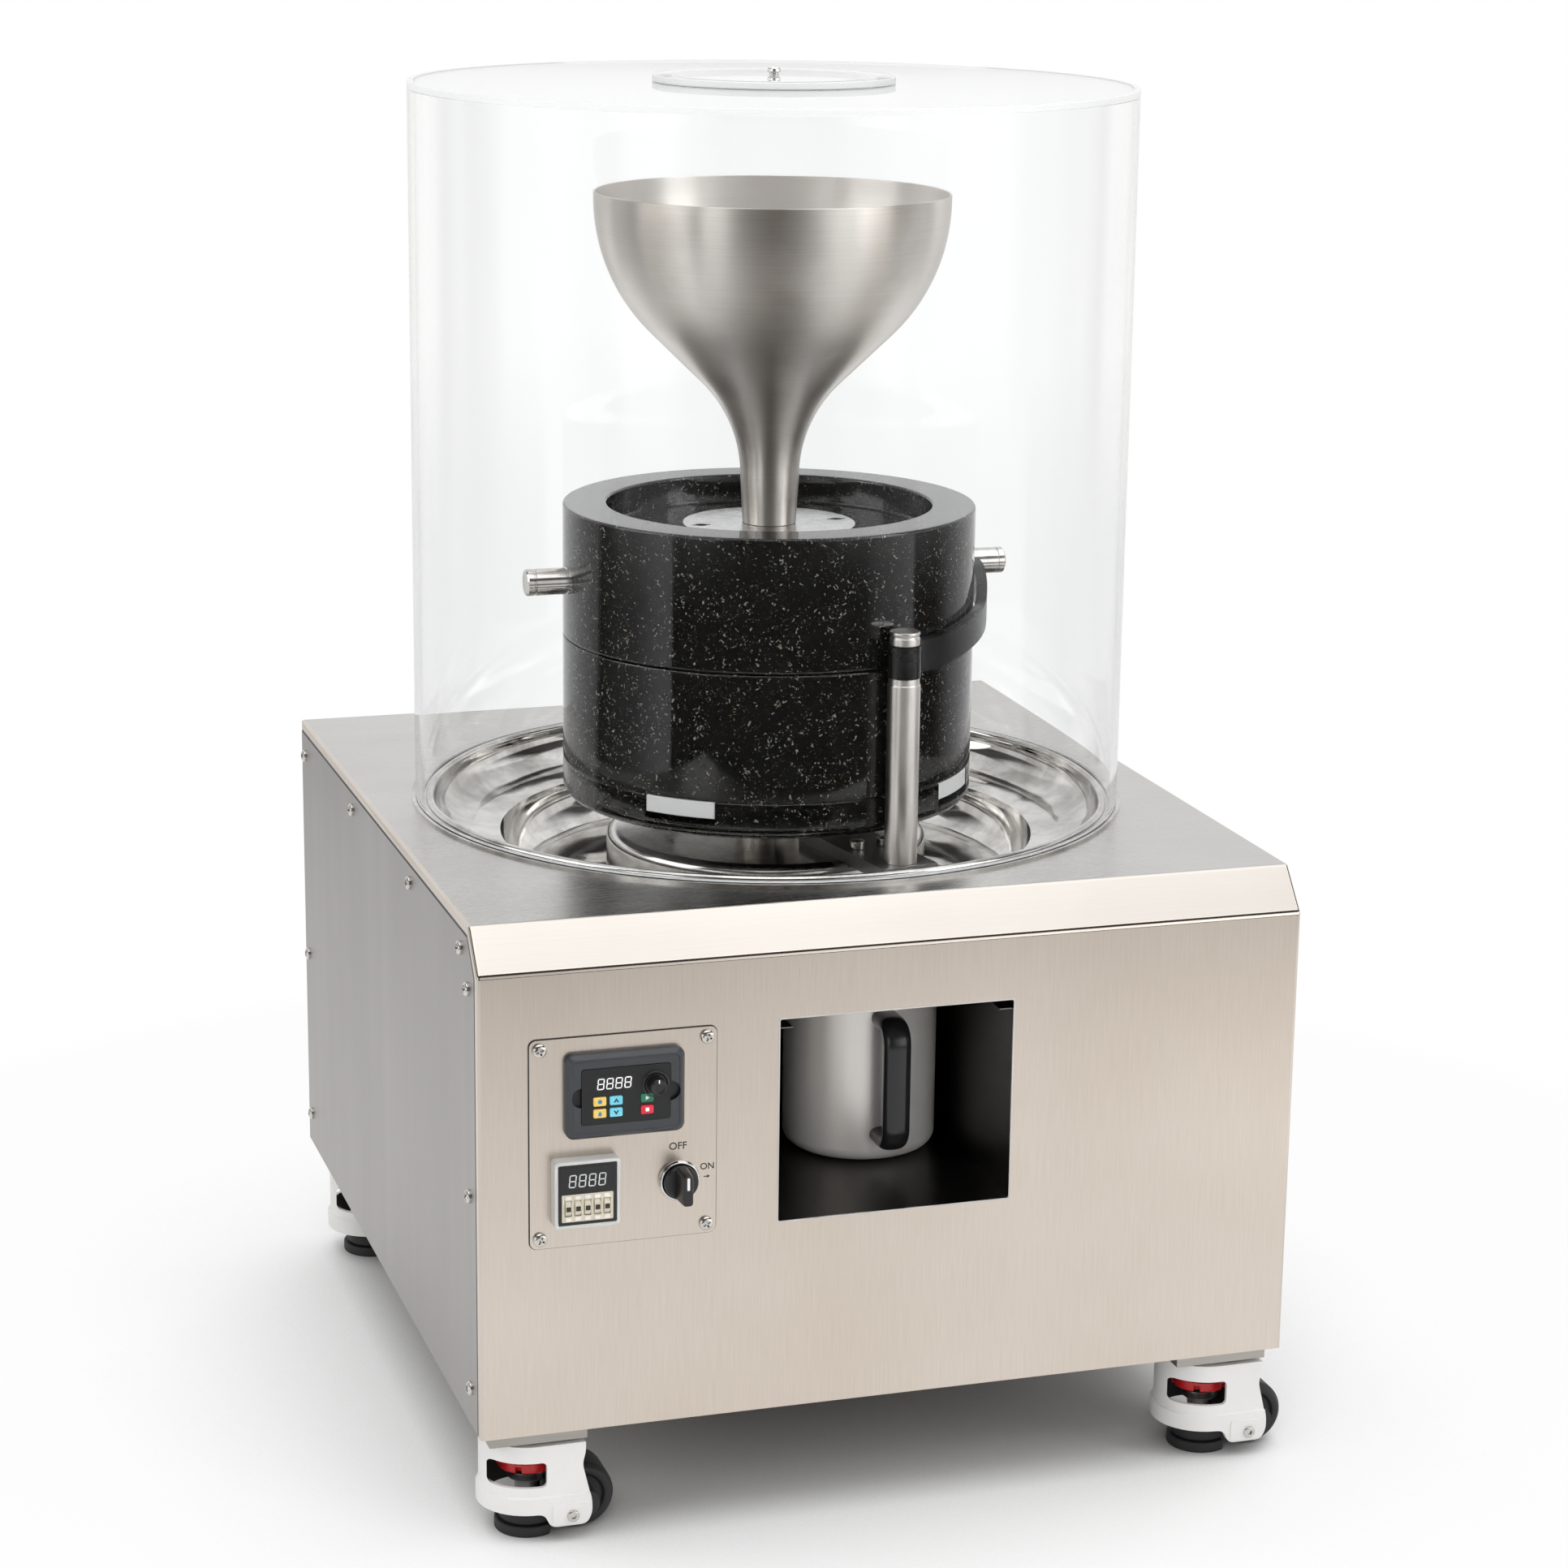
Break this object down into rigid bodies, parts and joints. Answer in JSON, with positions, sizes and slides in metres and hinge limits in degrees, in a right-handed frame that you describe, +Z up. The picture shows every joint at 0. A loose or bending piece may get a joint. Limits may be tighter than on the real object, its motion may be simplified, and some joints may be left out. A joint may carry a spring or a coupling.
{
  "type": "matcha stone mill",
  "caption": "Powered stone mill for matcha: stainless cabinet on levelling casters, granite stones in a polished basin, feed funnel, clear dome, powder mug in a front pocket.",
  "frame": {"origin": "on the floor, under the mill's axis, which is the middle of the cabinet", "axes": "+Z up along the mill's axis, -Y to the front with the control panel, +X to the right seen from the front"},
  "size_m": [0.6192, 0.6888, 0.9966],
  "materials": {
    "stainless": "brushed",
    "steel_dark": "satin",
    "steel_bright": "polished",
    "polished": "mirror",
    "motor_paint": "satin",
    "granite": "polished",
    "nylon": "matte",
    "clear": "clear",
    "grey_plastic": "matte",
    "black_plastic": "matte",
    "key_yellow": "gloss",
    "key_blue": "gloss",
    "key_green": "gloss",
    "key_red": "gloss",
    "ivory_plastic": "matte",
    "white_paint": "gloss",
    "rubber": "matte"
  },
  "bodies": {
    "cabinet": {"front_top_cover": "stainless", "left_side_panel": "stainless", "right_side_panel": "stainless", "rear_panel": "stainless", "base_plate": "steel_dark", "mill_frame": "steel_dark", "cabinet_screws": "steel_bright", "mug_pocket": "steel_dark", "powder_chute": "stainless", "basin": "polished", "pedestal": "polished", "spindle_bearings": "steel_bright", "gear_motor": "motor_paint", "post_foot_bar": "steel_dark", "stop_post": "steel_bright", "post_cap": "steel_bright", "control_plate": "stainless", "drive_unit": "grey_plastic", "keypad": "black_plastic", "timer_case": "black_plastic", "selector_body": "steel_bright", "cable_gland": "black_plastic"},
    "stop_arm": {"stop_arm": "black_plastic"},
    "lower_mill": {"lower_stone": "granite", "stone_base": "granite", "nylon_blocks": "nylon", "main_shaft": "steel_bright"},
    "upper_mill": {"upper_stone": "granite", "feed_plate": "stainless", "handle_pins": "steel_bright"},
    "funnel": {"funnel": "stainless"},
    "dome": {"dome_shell": "clear"},
    "dome_lid": {"dome_lid": "clear"},
    "mug": {"mug_body": "stainless", "mug_handle": "black_plastic"},
    "selector_knob": {"selector_knob": "black_plastic"},
    "speed_knob": {"speed_knob": "black_plastic"},
    "program_key": {"program_key": "key_yellow"},
    "enter_key": {"enter_key": "key_yellow"},
    "up_key": {"up_key": "key_blue"},
    "down_key": {"down_key": "key_blue"},
    "run_key": {"run_key": "key_green"},
    "stop_key": {"stop_key": "key_red"},
    "timer_wheel_1": {"timer_wheel_1": "ivory_plastic"},
    "timer_wheel_2": {"timer_wheel_2": "ivory_plastic"},
    "timer_wheel_3": {"timer_wheel_3": "ivory_plastic"},
    "timer_wheel_4": {"timer_wheel_4": "ivory_plastic"},
    "timer_wheel_5": {"timer_wheel_5": "ivory_plastic"},
    "caster_fork_front_left": {"caster_fork_front_left": "white_paint"},
    "caster_wheel_front_left": {"caster_wheel_front_left": "rubber"},
    "caster_foot_front_left": {"caster_foot_front_left": "rubber"},
    "caster_fork_front_right": {"caster_fork_front_right": "white_paint"},
    "caster_wheel_front_right": {"caster_wheel_front_right": "rubber"},
    "caster_foot_front_right": {"caster_foot_front_right": "rubber"},
    "caster_fork_rear_left": {"caster_fork_rear_left": "white_paint"},
    "caster_wheel_rear_left": {"caster_wheel_rear_left": "rubber"},
    "caster_foot_rear_left": {"caster_foot_rear_left": "rubber"},
    "caster_fork_rear_right": {"caster_fork_rear_right": "white_paint"},
    "caster_wheel_rear_right": {"caster_wheel_rear_right": "rubber"},
    "caster_foot_rear_right": {"caster_foot_rear_right": "rubber"}
  },
  "joints": [
    {"name": "lower_stone_spin", "type": "hinge", "parent": "cabinet", "child": "lower_mill", "pos_m": [0, 0, 0.451], "axis": [0, 0, 1], "continuous": true},
    {"name": "stop_arm_swing", "type": "hinge", "parent": "cabinet", "child": "stop_arm", "pos_m": [0.05253, -0.16168, 0.574], "axis": [0, 0, 1], "range_deg": [-30, 0]},
    {"name": "upper_stone_lift", "type": "slide", "parent": "cabinet", "child": "upper_mill", "axis": [0, 0, 1], "range_m": [0, 0.035]},
    {"name": "funnel_lift", "type": "slide", "parent": "upper_mill", "child": "funnel", "axis": [0, 0, 1], "range_m": [0, 0.03]},
    {"name": "dome_lift", "type": "slide", "parent": "cabinet", "child": "dome", "axis": [0, 0, 1], "range_m": [0, 0.47]},
    {"name": "lid_lift", "type": "slide", "parent": "dome", "child": "dome_lid", "axis": [0, 0, 1], "range_m": [0, 0.06]},
    {"name": "mug_slide", "type": "slide", "parent": "cabinet", "child": "mug", "axis": [0, -1, 0], "range_m": [0, 0.21]},
    {"name": "selector_turn", "type": "hinge", "parent": "cabinet", "child": "selector_knob", "pos_m": [-0.16025, -0.326, 0.2647], "axis": [0, 1, 0], "range_deg": [0, 90]},
    {"name": "speed_turn", "type": "hinge", "parent": "cabinet", "child": "speed_knob", "pos_m": [-0.17865, -0.3281, 0.3376], "axis": [0, 1, 0], "range_deg": [0, 270]},
    {"name": "program_key_press", "type": "slide", "parent": "cabinet", "child": "program_key", "axis": [0, 1, 0], "range_m": [0, 0.0006], "stiffness_N_per_m": 500, "springref_m": -0.0005},
    {"name": "enter_key_press", "type": "slide", "parent": "cabinet", "child": "enter_key", "axis": [0, 1, 0], "range_m": [0, 0.0006], "stiffness_N_per_m": 500, "springref_m": -0.0005},
    {"name": "up_key_press", "type": "slide", "parent": "cabinet", "child": "up_key", "axis": [0, 1, 0], "range_m": [0, 0.0006], "stiffness_N_per_m": 500, "springref_m": -0.0005},
    {"name": "down_key_press", "type": "slide", "parent": "cabinet", "child": "down_key", "axis": [0, 1, 0], "range_m": [0, 0.0006], "stiffness_N_per_m": 500, "springref_m": -0.0005},
    {"name": "run_key_press", "type": "slide", "parent": "cabinet", "child": "run_key", "axis": [0, 1, 0], "range_m": [0, 0.0006], "stiffness_N_per_m": 500, "springref_m": -0.0005},
    {"name": "stop_key_press", "type": "slide", "parent": "cabinet", "child": "stop_key", "axis": [0, 1, 0], "range_m": [0, 0.0006], "stiffness_N_per_m": 500, "springref_m": -0.0005},
    {"name": "timer_wheel_1_turn", "type": "hinge", "parent": "cabinet", "child": "timer_wheel_1", "pos_m": [-0.24085, -0.326, 0.2552], "axis": [1, 0, 0], "continuous": true},
    {"name": "timer_wheel_2_turn", "type": "hinge", "parent": "cabinet", "child": "timer_wheel_2", "pos_m": [-0.23405, -0.326, 0.2552], "axis": [1, 0, 0], "continuous": true},
    {"name": "timer_wheel_3_turn", "type": "hinge", "parent": "cabinet", "child": "timer_wheel_3", "pos_m": [-0.22725, -0.326, 0.2552], "axis": [1, 0, 0], "continuous": true},
    {"name": "timer_wheel_4_turn", "type": "hinge", "parent": "cabinet", "child": "timer_wheel_4", "pos_m": [-0.22045, -0.326, 0.2552], "axis": [1, 0, 0], "continuous": true},
    {"name": "timer_wheel_5_turn", "type": "hinge", "parent": "cabinet", "child": "timer_wheel_5", "pos_m": [-0.21365, -0.326, 0.2552], "axis": [1, 0, 0], "continuous": true},
    {"name": "caster_swivel_front_left", "type": "hinge", "parent": "cabinet", "child": "caster_fork_front_left", "pos_m": [-0.257, -0.276, 0.07], "axis": [0, 0, 1], "continuous": true},
    {"name": "caster_roll_front_left", "type": "hinge", "parent": "caster_fork_front_left", "child": "caster_wheel_front_left", "pos_m": [-0.222, -0.276, 0.0246], "axis": [0, 1, 0], "continuous": true},
    {"name": "caster_foot_lift_front_left", "type": "slide", "parent": "caster_fork_front_left", "child": "caster_foot_front_left", "axis": [0, 0, 1], "range_m": [0, 0.006]},
    {"name": "caster_swivel_front_right", "type": "hinge", "parent": "cabinet", "child": "caster_fork_front_right", "pos_m": [0.257, -0.276, 0.07], "axis": [0, 0, 1], "continuous": true},
    {"name": "caster_roll_front_right", "type": "hinge", "parent": "caster_fork_front_right", "child": "caster_wheel_front_right", "pos_m": [0.292, -0.276, 0.0246], "axis": [0, 1, 0], "continuous": true},
    {"name": "caster_foot_lift_front_right", "type": "slide", "parent": "caster_fork_front_right", "child": "caster_foot_front_right", "axis": [0, 0, 1], "range_m": [0, 0.006]},
    {"name": "caster_swivel_rear_left", "type": "hinge", "parent": "cabinet", "child": "caster_fork_rear_left", "pos_m": [-0.257, 0.276, 0.07], "axis": [0, 0, 1], "continuous": true},
    {"name": "caster_roll_rear_left", "type": "hinge", "parent": "caster_fork_rear_left", "child": "caster_wheel_rear_left", "pos_m": [-0.222, 0.276, 0.0246], "axis": [0, 1, 0], "continuous": true},
    {"name": "caster_foot_lift_rear_left", "type": "slide", "parent": "caster_fork_rear_left", "child": "caster_foot_rear_left", "axis": [0, 0, 1], "range_m": [0, 0.006]},
    {"name": "caster_swivel_rear_right", "type": "hinge", "parent": "cabinet", "child": "caster_fork_rear_right", "pos_m": [0.257, 0.276, 0.07], "axis": [0, 0, 1], "continuous": true},
    {"name": "caster_roll_rear_right", "type": "hinge", "parent": "caster_fork_rear_right", "child": "caster_wheel_rear_right", "pos_m": [0.292, 0.276, 0.0246], "axis": [0, 1, 0], "continuous": true},
    {"name": "caster_foot_lift_rear_right", "type": "slide", "parent": "caster_fork_rear_right", "child": "caster_foot_rear_right", "axis": [0, 0, 1], "range_m": [0, 0.006]}
  ]
}
